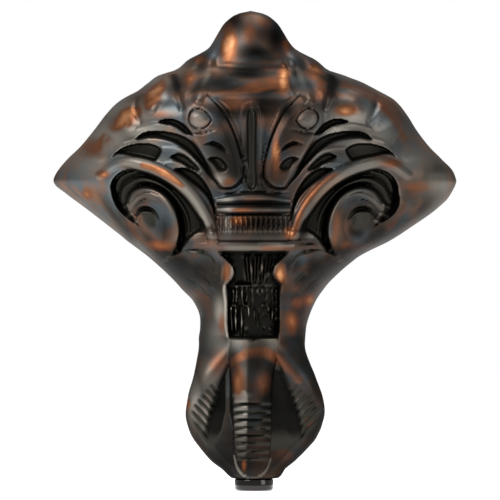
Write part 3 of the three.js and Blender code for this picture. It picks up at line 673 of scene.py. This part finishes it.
# Where the finish is rubbed through to copper: each patch's x, z, half width, half height and share
copper_patches = [
    (-9.2, 165, 2.7, 6.4, 1.2), (-1.4, 170, 3.4, 4.2, 0.42), (12, 165.6, 1.6, 3.6, 0.5),
    (3.6, 173.6, 4, 3, 0.35), (11, 152.8, 2.2, 4.6, 1.05), (7, 156.6, 5, 1.4, 0.25),
    (-7, 158.9, 6, 0.6, 0.4), (5, 158.9, 7, 0.6, 0.4), (-6, 144, 7, 3.4, 0.4), (-33, 139.4, 6, 1.8, 0.4),
    (-24, 153.4, 2.4, 3.6, 0.7), (-20, 160, 3, 2, 0.4), (22.4, 155.4, 3.2, 3.2, 0.8),
    (24.4, 149, 2.2, 5, 0.55), (34.6, 141, 4.6, 2.2, 0.85), (-60, 127, 4.5, 4, 0.55),
    (-55.6, 117.6, 3, 1.6, 0.75), (-61.8, 110.4, 2.2, 2.6, 0.6), (-54.6, 130, 3, 3, 0.45),
    (-35, 91, 5.2, 2.2, 0.6), (36, 91, 6, 2.4, 0.3), (30, 96, 1.4, 7, 0.4), (61, 113, 6, 2.4, 0.45),
    (51, 121.6, 5, 2, 0.5), (8.4, 125, 1.6, 7, 0.75), (30.4, 99, 2, 7, 0.3), (-9, 114.6, 2.6, 1.8, 0.45),
    (-5.6, 100.6, 3, 1.8, 0.9), (-4.6, 104.4, 4, 0.9, 0.7), (0, 108.6, 7, 1.4, 0.3),
    (7.5, 90.2, 8, 1.2, 0.6), (13.6, 96, 2.4, 2.4, 0.75), (-9.8, 81.4, 1.8, 3.4, 0.8),
    (10, 80.6, 1.8, 3.6, 1.1), (20.6, 70.8, 2.6, 2.4, 0.65), (14, 62, 2.4, 4.4, 0.6),
    (16, 70, 4, 3, 0.35), (-11.8, 62, 1.6, 5, 0.4), (-24, 67.6, 3, 3, 0.3), (-13.2, 48, 4, 5, 0.5),
    (-6, 40.6, 2.4, 6.4, 0.6), (3.4, 40.6, 3.6, 5, 0.32), (13.6, 34.8, 1.8, 1.1, 0.9),
    (20.6, 26, 2.4, 2.6, 0.3), (-24.2, 32.6, 1, 2.4, 0.5), (-3.6, 10, 1, 3, 0.6), (11, 14, 5, 4, 0.25),
]
copper_bands = [
    stroke([(-39.4, 142.8), (-36.8, 146.6), (-34, 151)], (3.4, 5.6, 3.8), 0.95, 3),
    stroke([(-52, 134.6), (-47, 138.2), (-43, 141)], (4, 7, 4.6), 0.95, 3),
    stroke([(-60.2, 124.8), (-57.6, 128), (-55.4, 131.4)], (3, 5, 3.2), 0.65, 3),
    stroke([(-13, 147.2), (-6, 148.2), (0, 149.6), (6, 151), (11, 152)], (1.4, 3, 3.6), 0.46, 1),
    stroke([(33, 150.5), (43, 146.6), (49.5, 142), (53.5, 136), (56, 130)], (2.2, 3.4, 1.6), 0.5, 1),
    stroke([(30, 117.4), (25.6, 114.6), (20.6, 109), (17.4, 103.4), (15.6, 97)],
           (1.4, 1.8, 1.4), 0.55, 1),
    stroke([(-9.4, 46.4), (-5.6, 49.6), (0, 51.6), (4.4, 51.6), (9, 49), (13.4, 45), (16.6, 41.6)],
           (2.4, 3, 2.6), 0.4, 1),
    stroke([(-41, 120.8), (-36, 119.4), (-31, 116.8), (-26, 113)], (1.4, 2, 1.4), 0.8, 1),
]

# Where pale grey highlights are painted on
painted_highlight_patches = [
    (-33.6, 139.8, 8, 1.7, 0.3), (-33.2, 147, 1.2, 3, 0.5), (-44, 133.6, 8, 3, 0.8),
    (-43, 122.4, 9, 1.4, 0.5), (-20.2, 137.6, 3, 3, 0.4), (20.2, 137.6, 3, 3, 0.25),
    (-12.4, 115.6, 2.6, 2, 0.6), (-12.6, 66, 2, 5.6, 0.6), (-24.6, 120, 4, 4, 0.4),
    (12, 152, 0.8, 3.6, 0.5), (-17, 28, 3, 7, 0.6), (-5.2, 35.8, 3, 0.8, 0.6), (13, 32.4, 2.6, 2.4, 0.9),
    (15.4, 28, 2.2, 4, 0.7), (-16.8, 27, 2, 6, 0.8), (-9.6, 79, 1, 4, 0.4), (-53, 131, 7, 6, 0.9),
    (-46, 140, 8, 5, 0.65), (-60, 121, 8, 5, 0.6), (36, 139, 8, 4, 0.6), (48, 132, 6, 5, 0.45),
    (30, 133.6, 6, 1.4, 0.6), (60, 122, 8, 6, 0.5), (68, 114, 6, 5, 0.5), (-14, 57, 4, 6, 0.5),
    (-17, 44, 4, 7, 0.25), (-22, 34, 2.4, 9, 0.5), (-9.4, 99.6, 1.4, 3, 0.8),
    (-9.6, 107.8, 2.4, 0.9, 0.8), (-9, 104.6, 2.4, 0.9, 0.8), (-27, 157, 3, 3, 0.4),
    (-36, 152, 6, 3, 0.5),
]
painted_highlight_bands = [
    stroke([(-7.9, 82.8), (-8.2, 79.4), (-10.7, 76.3), (-10.5, 70), (-10.6, 62), (-9.8, 57.6)],
           (0.5, 0.75, 0.6), 1, 1),
    stroke([(2, 91.7), (9, 91.5), (15, 91.4)], (0.4, 0.8, 0.5), 0.6, 1),
    stroke([(-4.6, 35.4), (-4.8, 30), (-4.8, 23)], (2.6, 2.7, 2.4), 0.5, 0.35),
    stroke([(-4.8, 24), (-4.8, 19), (-4.6, 14)], (2.4, 2.4, 1.8), 0.22, 0.35),
    stroke([(-7.2, 13.4), (-6.4, 9.4), (-4.4, 6.2), (-2, 4.9)], (0.4, 0.6, 0.5), 0.7, 1),
    stroke([(-2, 4.9), (1.6, 5.2), (4.4, 7.6), (6.2, 12)], (0.5, 0.6, 0.4), 0.4, 1),
    stroke([(-43, 122), (-36, 120), (-30, 116.8), (-24, 111.8), (-19.8, 106), (-16.8, 99.6)],
           (1.4, 2.4, 1.8), 0.6, 1),
]

# Where the finish is dark, and where shade is painted on in dark patches
dark_finish_and_shade_patches = [
    (0, 120, 28, 28, 0.8), (42, 104, 22, 20, 0.7), (-38, 102, 16, 14, 0.5), (0, 20, 36, 36, 0.8),
    (0, 70, 26, 22, 0.7), (0.6, 162.6, 8, 3.6, 1), (8, 168, 6, 9, 1), (-7, 174.4, 6, 3.6, 0.9),
    (-2, 155.4, 10, 2.2, 1), (16.2, 155.6, 3, 4, 0.9), (29, 147.6, 3, 7, 0.9), (4, 144, 16, 8, 0.95),
    (-29.4, 148.5, 3, 5, 0.5), (-43, 144.8, 4, 3, 0.5), (-18, 158, 4, 6, 0.5), (9, 42, 3.4, 5, 0.9),
    (12, 27, 4, 9, 0.8), (-15.4, 20, 4, 3, 0.8), (15.4, 20.6, 4, 3, 0.8), (20, 78, 7, 6, 0.8),
    (22, 64, 3, 5, 0.6), (-28, 83, 14, 12, 0.85), (31, 86, 16, 12, 0.85), (50, 100, 14, 9, 0.6),
    (4.6, 30, 6, 30, 1), (38, 97, 5, 5, 1), (-33, 97, 5, 8, 0.8), (30, 106, 6, 6, 0.8),
    (-45, 96, 6, 5, 0.5), (52, 93, 10, 7, 0.6), (-12, 151, 9, 5, 0.8), (-3, 154.6, 9, 2.4, 1),
    (0, 141, 18, 5, 1), (12, 140.6, 6, 7, 1), (-9, 141, 7, 6, 1), (2, 55, 11, 2.4, 1),
    (-24.8, 92.4, 3.6, 3.6, 1), (24, 93, 4.6, 4, 1), (22, 103, 4, 6, 0.8), (14, 84, 7, 5, 0.9),
    (23, 83, 6, 7, 1), (8, 20, 9, 8, 1), (-45, 104, 4, 6, 0.6), (4, 130, 6, 8, 0.8),
    (2, 99.6, 12, 4, 0.9), (18, 96, 8, 8, 0.8), (-19, 97, 6, 6, 0.7), (0, 56, 10, 4, 0.9),
]


def patched(x, z, patches, bands=()):
    """How much of a finish shows at each place. A patch fades out evenly from its middle."""
    share = np.zeros_like(x)
    for patch_x, patch_z, patch_width, patch_height, amount in patches:
        away = ((x - patch_x) / patch_width) ** 2 + ((z - patch_z) / patch_height) ** 2
        share = np.maximum(share, amount * np.exp(-away))
    for band in bands:
        share = np.maximum(share, band(x, z))
    return share


finish_layers = ("recess", "cut", "copper", "painted_highlight", "dark_finish_and_shade")


def casting_piece(material):
    """The casting, as a grid wrapped round it. Its rows run from the bore's end, under the ball and up to the
    top. Its columns run from the middle of the back, round the front and back again."""
    bm = bmesh.new()
    shrink = Matrix.Diagonal((1, 0.5, 1, 1))
    bmesh.ops.create_grid(bm, x_segments=half_columns, y_segments=lower_rows, size=1,
                          matrix=Matrix.Translation((0, -0.5, 0)) @ shrink)
    border = [edge for edge in bm.edges if all(abs(v.co.y) < 1e-6 for v in edge.verts)]
    bmesh.ops.subdivide_edges(bm, edges=border, cuts=1)
    bmesh.ops.create_grid(bm, x_segments=2 * half_columns, y_segments=upper_rows, size=1,
                          matrix=Matrix.Translation((0, 0.5, 0)) @ shrink)
    seam = [v for v in bm.verts if abs(v.co.y) < 1e-6]
    bmesh.ops.remove_doubles(bm, verts=seam, dist=1e-4)
    bm.verts.ensure_lookup_table()

    flat = np.array([v.co[:2] for v in bm.verts])
    column = np.round(flat[:, 0] * half_columns)
    share = flat[:, 1]
    row = np.round(np.where(share < 0, share * lower_rows, share * upper_rows))
    # The five lowest rows make the bore and the underside. The rest lie closest where the carving is finest.
    start = (5 - lower_rows) / lower_rows
    below = spread(share, [(start, casting_bottom + 0.3), (-0.92, 10), (-0.4, 48), (0, waist_height)])
    above = spread(share, [(0, waist_height), (0.8, 150), (1, foot_top)])
    z = np.where(share < 0, below, above)
    x, y, relief, cut = casting_surface(column, z)
    x, y, z = closed_ends(x, y, z, row)
    x = x + dome_lean * smooth_step((z - 152) / 16)

    # How far each place lies below the relief around it, which darkens it with dark patina and painted shade;
    # what stands above the relief around it gets a painted highlight
    grid_row = (row + lower_rows).astype(int)
    grid_column = (column + half_columns).astype(int)
    grid = np.zeros((lower_rows + upper_rows + 1, 2 * half_columns + 1))
    grid[grid_row, grid_column] = relief
    grid[:lower_rows, 1::2] = (grid[:lower_rows, :-2:2] + grid[:lower_rows, 2::2]) / 2
    lows = (blurred(grid, 9) - grid)[grid_row, grid_column]

    for vertex, place in zip(bm.verts, np.stack([x, y, z], 1) * MM):
        vertex.co = place
    # The finish is worn, and highlights and shade are painted, only on the front and not inside the cuts
    raised = np.where(np.abs(column) > front_columns, 0, np.clip(1.2 - cut, 0, 1))
    # The threads' tops get a painted highlight, weaker on the right, away from the light
    threads = sum(lift(x, z) for lift in (*tassel_fan, *tassel_tangle))
    lit_threads = np.clip(threads / 3, 0, 0.8) * np.where(x < 0, 1, 0.6)
    painted_highlight = np.maximum(patched(x, z, painted_highlight_patches, painted_highlight_bands), lit_threads)
    copper = patched(x, z, copper_patches, copper_bands)
    dark_finish_and_shade = patched(x, z, dark_finish_and_shade_patches)
    for name, values in zip(finish_layers, (lows, cut, copper * raised, painted_highlight * raised, dark_finish_and_shade * raised)):
        layer = bm.verts.layers.float.new(name)
        for vertex, value in zip(bm.verts, values):
            vertex[layer] = value
    bmesh.ops.remove_doubles(bm, verts=bm.verts, dist=2e-6)
    bmesh.ops.recalc_face_normals(bm, faces=bm.faces)
    return finished_object("bronze_casting", bm, "casting", material)


def web_outline(z):
    """The web's outline, a little way into the shell's wall, with the slot open at the back."""
    turns = web_reach * np.linspace(-1, 1, web_steps)
    depth = edge_line(z) - front_line(z) - wall + web_sink
    x = (half_width(z) - wall + web_sink) * np.sin(turns)
    y = np.minimum(edge_line(z) - depth * section(turns, np.full(web_steps, float(z))), web_back)
    radius = stud_slot_width / 2
    bend = np.linspace(0, -math.pi, 25)
    slot_x = np.concatenate([[radius], radius * np.cos(bend), [-radius]])
    slot_y = np.concatenate([[web_back], stud_slot_front + radius + radius * np.sin(bend), [web_back]])
    return np.stack([np.concatenate([x, slot_x]), np.concatenate([y, slot_y])], 1)


def web_piece(material):
    """The web across the hollow that hangs on the tub's stud."""
    bm = bmesh.new()
    outlines = []
    for z in (web_top, web_top - web_thickness):
        verts = [bm.verts.new((x * MM, y * MM, z * MM)) for x, y in web_outline(z)]
        outlines.append([bm.edges.new(pair) for pair in zip(verts, verts[1:] + verts[:1])])
    bmesh.ops.bridge_loops(bm, edges=outlines[0] + outlines[1])
    for edges in outlines:
        bmesh.ops.triangle_fill(bm, edges=edges, use_beauty=True)
    bmesh.ops.recalc_face_normals(bm, faces=bm.faces)
    rims = [edge for edge in bm.edges if len(edge.link_faces) == 2 and edge.calc_face_angle() > 1
            and all(v.co.y > (stud_slot_front - 1) * MM and abs(v.co.x) < 45 * MM for v in edge.verts)]
    bmesh.ops.bevel(bm, geom=rims, offset=0.5 * MM, affect="EDGES", segments=2, profile=0.5, material=-1)
    for name in finish_layers:
        bm.verts.layers.float.new(name)
    return finished_object("stud_web", bm, "casting", material)


def turned(bm, profile, steps):
    """A body turned about the vertical axis from (radius, height) points in millimetres."""
    verts = [bm.verts.new((radius * MM, 0, height * MM)) for radius, height in profile]
    edges = [bm.edges.new(pair) for pair in zip(verts, verts[1:])]
    bmesh.ops.spin(bm, geom=verts + edges, cent=(0, 0, 0), axis=(0, 0, 1), angle=2 * math.pi, steps=steps,
                   use_merge=False)
    bmesh.ops.remove_doubles(bm, verts=bm.verts, dist=1e-6)


def screw_piece(material):
    """The levelling screw: a turned head and core, with a thread wound round the core."""
    bm = bmesh.new()
    head_radius = head_diameter / 2
    core = shank_diameter / 2 - thread_depth
    lower_edge = [
        (head_radius - head_edge_radius * (1 - math.sin(a)), head_edge_radius * (1 - math.cos(a)))
        for a in np.linspace(0, math.pi / 2, 10)
    ]
    turned(bm, [
        (0, 0), *lower_edge, (head_radius, head_height - 0.5), (head_radius - 0.15, head_height - 0.15),
        (head_radius - 0.5, head_height), (core + 0.3, head_height), (core, head_height + 0.3),
        (core, shank_end - 0.9), (core - 0.9, shank_end), (0, shank_end),
    ], 96)
    start = head_height + 0.8
    turns = math.floor((shank_end - start - 1.6) / thread_pitch)
    steps = 32
    outer = shank_diameter / 2 - 0.02
    ridge = [(core - 0.3, -0.6), (core, -0.55), (outer, -0.1), (outer, 0.1), (core, 0.55), (core - 0.3, 0.6)]
    verts = [bm.verts.new((radius * MM, 0, (start + rise + 0.2) * MM)) for radius, rise in ridge]
    edges = [bm.edges.new(pair) for pair in zip(verts, verts[1:] + verts[:1])]
    bmesh.ops.spin(bm, geom=verts + edges, cent=(0, 0, 0), axis=(0, 0, 1), angle=2 * math.pi * turns,
                   steps=steps * turns, dvec=(0, 0, thread_pitch / steps * MM), use_merge=False)
    bmesh.ops.holes_fill(bm, edges=[edge for edge in bm.edges if edge.is_boundary], sides=8)
    bmesh.ops.recalc_face_normals(bm, faces=bm.faces)
    return finished_object("turned_screw", bm, "screw", material)


def new_material(name):
    material = bpy.data.materials.new(name)
    material.use_nodes = True
    return material, material.node_tree


def set_inputs(tree, node, inputs):
    """Sets inputs, named by their identifiers. Each is a value, a hex colour or the output that feeds it."""
    sockets = {socket.identifier: socket for socket in node.inputs}
    for name, value in inputs.items():
        socket = sockets[name]
        if isinstance(value, bpy.types.NodeSocket):
            tree.links.new(value, socket)
        elif socket.type == "RGBA":
            socket.default_value = linear(value)
        else:
            socket.default_value = value


def add_node(tree, kind, inputs, output=0, **settings):
    """Adds a node with its settings and links, and gives one of its outputs."""
    node = tree.nodes.new(kind)
    for setting, value in settings.items():
        setattr(node, setting, value)
    set_inputs(tree, node, inputs)
    return node.outputs[output]


# Which output of a mix node is its colour
mixed_colour = 2

# The bronze finish's patterns, in millimetres
blotch_size = 18.18
hue_size = 11.76
wear_size = 7.69
grain_size = 1.11       # the cast surface's grain, drawn coarser than it is so that it shows


def bronze():
    """Oil-rubbed bronze on cast metal: black in the recesses, as patina with painted shade, smoky grey and
    brown where handled, darker towards the bottom, with painted grey highlights and dark patches of finish
    and painted shade, and copper where it is rubbed through."""
    material, tree = new_material("oil_rubbed_bronze")
    place = add_node(tree, "ShaderNodeTexCoord", {}, "Object")
    height = add_node(tree, "ShaderNodeSeparateXYZ", {"Vector": place}, "Z")
    recess, cut, copper, painted_highlight, dark_finish_and_shade = (
        add_node(tree, "ShaderNodeAttribute", {}, "Fac", attribute_name=name) for name in finish_layers
    )
    blotches, hues, wear, grain = (
        add_node(tree, "ShaderNodeTexNoise", {
            "Vector": place, "Scale": 1 / (size * MM), "Detail": detail, "Roughness": fineness,
        })
        for size, detail, fineness in (
            (blotch_size, 2, 0.5), (hue_size, 2, 0.5), (wear_size, 3, 0.5), (grain_size, 4, 0.6),
        )
    )
    warmth = add_node(tree, "ShaderNodeMapRange", {
        "Value": hues, "From Min": 0.38, "From Max": 0.62,
    }, interpolation_type="SMOOTHSTEP")
    warm_or_cool = add_node(tree, "ShaderNodeMix", {
        "Factor_Float": warmth, "A_Color": 0x586166, "B_Color": 0x7a5c4c,
    }, mixed_colour, data_type="RGBA")
    unevenness = add_node(tree, "ShaderNodeMapRange", {
        "Value": wear, "From Min": 0.34, "From Max": 0.66, "To Min": 0.7, "To Max": 1.15,
    }, interpolation_type="SMOOTHSTEP")
    rubbed = add_node(tree, "ShaderNodeMath", {
        "Value": copper, "Value_001": unevenness,
    }, operation="MULTIPLY")

    # Each layer lies over the ones before it. It has a colour, what brings it out, the values where it starts
    # and is fullest, how much of it shows there, and how it comes in.
    colour = 0x3e3a36
    for over, drive, start, full, share, way in (
        (warm_or_cool, blotches, 0.34, 0.6, 1, "SMOOTHSTEP"),
        # darker towards the bottom
        (0x272623, height, 95 * MM, 55 * MM, 0.5, "SMOOTHSTEP"),
        # the dark finish and the painted shade
        (0x131211, dark_finish_and_shade, 0, 1, 1, "LINEAR"),
        # a painted highlight on what stands above the relief around it
        (0x807a70, recess, -0.5, -2, 0.5, "SMOOTHSTEP"),
        # painted grey highlights
        (0xa29c92, painted_highlight, 0, 1, 1, "LINEAR"),
        (0x78492f, rubbed, 0.04, 0.6, 1, "SMOOTHSTEP"),
        (0xd89a6c, rubbed, 0.4, 1.2, 1, "SMOOTHSTEP"),
        # the cuts' dark patina and painted shade
        (0x302f2a, cut, 0.1, 0.9, 1, "SMOOTHSTEP"),
        (0x070706, cut, 1.6, 4, 0.95, "SMOOTHSTEP"),
        # dark patina and painted shade in the recesses
        (0x080806, recess, 0.5, 2.8, 0.85, "SMOOTHSTEP"),
    ):
        amount = add_node(tree, "ShaderNodeMapRange", {
            "Value": drive, "From Min": start, "From Max": full, "To Max": share,
        }, interpolation_type=way)
        colour = add_node(tree, "ShaderNodeMix", {
            "Factor_Float": amount, "A_Color": colour, "B_Color": over,
        }, mixed_colour, data_type="RGBA")

    # Where the dark finish and the painted shade lie, the metal reflects less at its edges
    edge_tint = add_node(tree, "ShaderNodeMix", {
        "Factor_Float": dark_finish_and_shade, "A_Color": 0xb4b0aa, "B_Color": 0x55534f,
    }, mixed_colour, data_type="RGBA")
    roughness = add_node(tree, "ShaderNodeMapRange", {
        "Value": cut, "To Min": 0.42, "To Max": 0.36,
    }, interpolation_type="SMOOTHSTEP")
    texture = add_node(tree, "ShaderNodeMath", {"Value": blotches, "Value_001": grain}, operation="ADD")
    bump = add_node(tree, "ShaderNodeBump", {"Strength": 0.2, "Distance": 0.3 * MM, "Height": texture})
    set_inputs(tree, tree.nodes["Principled BSDF"], {
        "Base Color": colour, "Metallic": 0.85, "Roughness": roughness, "Specular Tint": edge_tint,
        "Normal": bump,
    })
    return material


def nickel():
    """Black nickel plating on a turned head, which shows bright streaks of light on a dark mirror."""
    material, tree = new_material("black_nickel")
    set_inputs(tree, tree.nodes["Principled BSDF"], {
        "Base Color": 0x2c2826, "Metallic": 1, "Roughness": 0.14, "Coat Weight": 0.8, "Coat Roughness": 0.05,
    })
    return material


def area_light(name, place, target, width, height, power, colour):
    light = bpy.data.lights.new(name, "AREA")
    light.shape = "RECTANGLE"
    light.size = width
    light.size_y = height
    light.energy = power
    light.color = linear(colour)[:3]
    lamp = bpy.data.objects.new(name, light)
    lamp.location = place
    lamp.rotation_euler = (Vector(target) - Vector(place)).to_track_quat("-Z", "Y").to_euler()
    bpy.context.scene.collection.objects.link(lamp)


def ray_is_one_of(tree, *kinds):
    """1 for a ray of either kind, and 0 for the others."""
    first, second = (add_node(tree, "ShaderNodeLightPath", {}, kind) for kind in kinds)
    return add_node(tree, "ShaderNodeMath", {"Value": first, "Value_001": second}, operation="MAXIMUM")


def white_floor():
    """A white floor that looks as bright as the background but keeps the foot's shadow."""
    bm = bmesh.new()
    bmesh.ops.create_grid(bm, x_segments=1, y_segments=1, size=3)
    mesh = bpy.data.meshes.new("floor")
    bm.to_mesh(mesh)
    bm.free()
    floor = bpy.data.objects.new("floor", mesh)
    bpy.context.scene.collection.objects.link(floor)
    material, tree = new_material("white_floor")
    shader = tree.nodes["Principled BSDF"]
    set_inputs(tree, shader, {"Base Color": 0xf4f4f4, "Roughness": 1, "Specular IOR Level": 0})
    plain = shader.outputs["BSDF"]
    glow = add_node(tree, "ShaderNodeEmission", {"Strength": 0.75})
    glowing = add_node(tree, "ShaderNodeAddShader", {"Shader": plain, "Shader_001": glow})
    seen = ray_is_one_of(tree, "Is Camera Ray", "Is Glossy Ray")
    shown = add_node(tree, "ShaderNodeMixShader", {"Fac": seen, "Shader": plain, "Shader_001": glowing})
    set_inputs(tree, tree.nodes["Material Output"], {"Surface": shown})
    mesh.materials.append(material)


def studio():
    """A white surround that lights the foot softly, and three softboxes."""
    world = bpy.data.worlds.new("studio")
    bpy.context.scene.world = world
    world.use_nodes = True
    tree = world.node_tree
    soft = tree.nodes["Background"]
    set_inputs(tree, soft, {"Color": 0xffffff, "Strength": 0.36})
    white = add_node(tree, "ShaderNodeBackground", {"Color": 0xffffff, "Strength": 1})
    seen = ray_is_one_of(tree, "Is Camera Ray", "Is Transmission Ray")
    shown = add_node(tree, "ShaderNodeMixShader", {
        "Fac": seen, "Shader": soft.outputs["Background"], "Shader_001": white,
    })
    set_inputs(tree, tree.nodes["World Output"], {"Surface": shown})

    middle = (0, 0, 0.09)
    area_light("left_softbox", (-0.9, -0.9, 1.0), middle, 0.8, 0.8, 17, 0xffffff)
    area_light("right_fill", (1.1, -0.7, 0.5), middle, 0.6, 0.8, 3.5, 0xffffff)
    area_light("top_light", (0, 0.3, 1.2), middle, 0.8, 0.6, 6, 0xffffff)


def camera():
    """A long lens, almost straight in front of the foot and halfway up it."""
    distance = 6
    seen_width = 0.1854
    azimuth = math.radians(0.3)
    elevation = math.radians(0.4)
    target = Vector((-0.00148, 0, 0.0893))
    away = Vector((math.sin(azimuth) * math.cos(elevation), -math.cos(azimuth) * math.cos(elevation),
                   math.sin(elevation)))
    data = bpy.data.cameras.new("camera")
    data.sensor_width = 36
    data.lens = data.sensor_width * distance / seen_width
    data.clip_start = 0.01
    lens = bpy.data.objects.new("camera", data)
    lens.location = target + distance * away
    lens.rotation_euler = (-away).to_track_quat("-Z", "Y").to_euler()
    bpy.context.scene.collection.objects.link(lens)
    bpy.context.scene.camera = lens


bronze_finish = bronze()
nickel_finish = nickel()
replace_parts(casting_piece(bronze_finish), "foot_casting")
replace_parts(web_piece(bronze_finish), "foot_casting")
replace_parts(screw_piece(nickel_finish), "levelling_screw")
white_floor()
studio()
camera()
bpy.context.scene.view_settings.view_transform = "Standard"
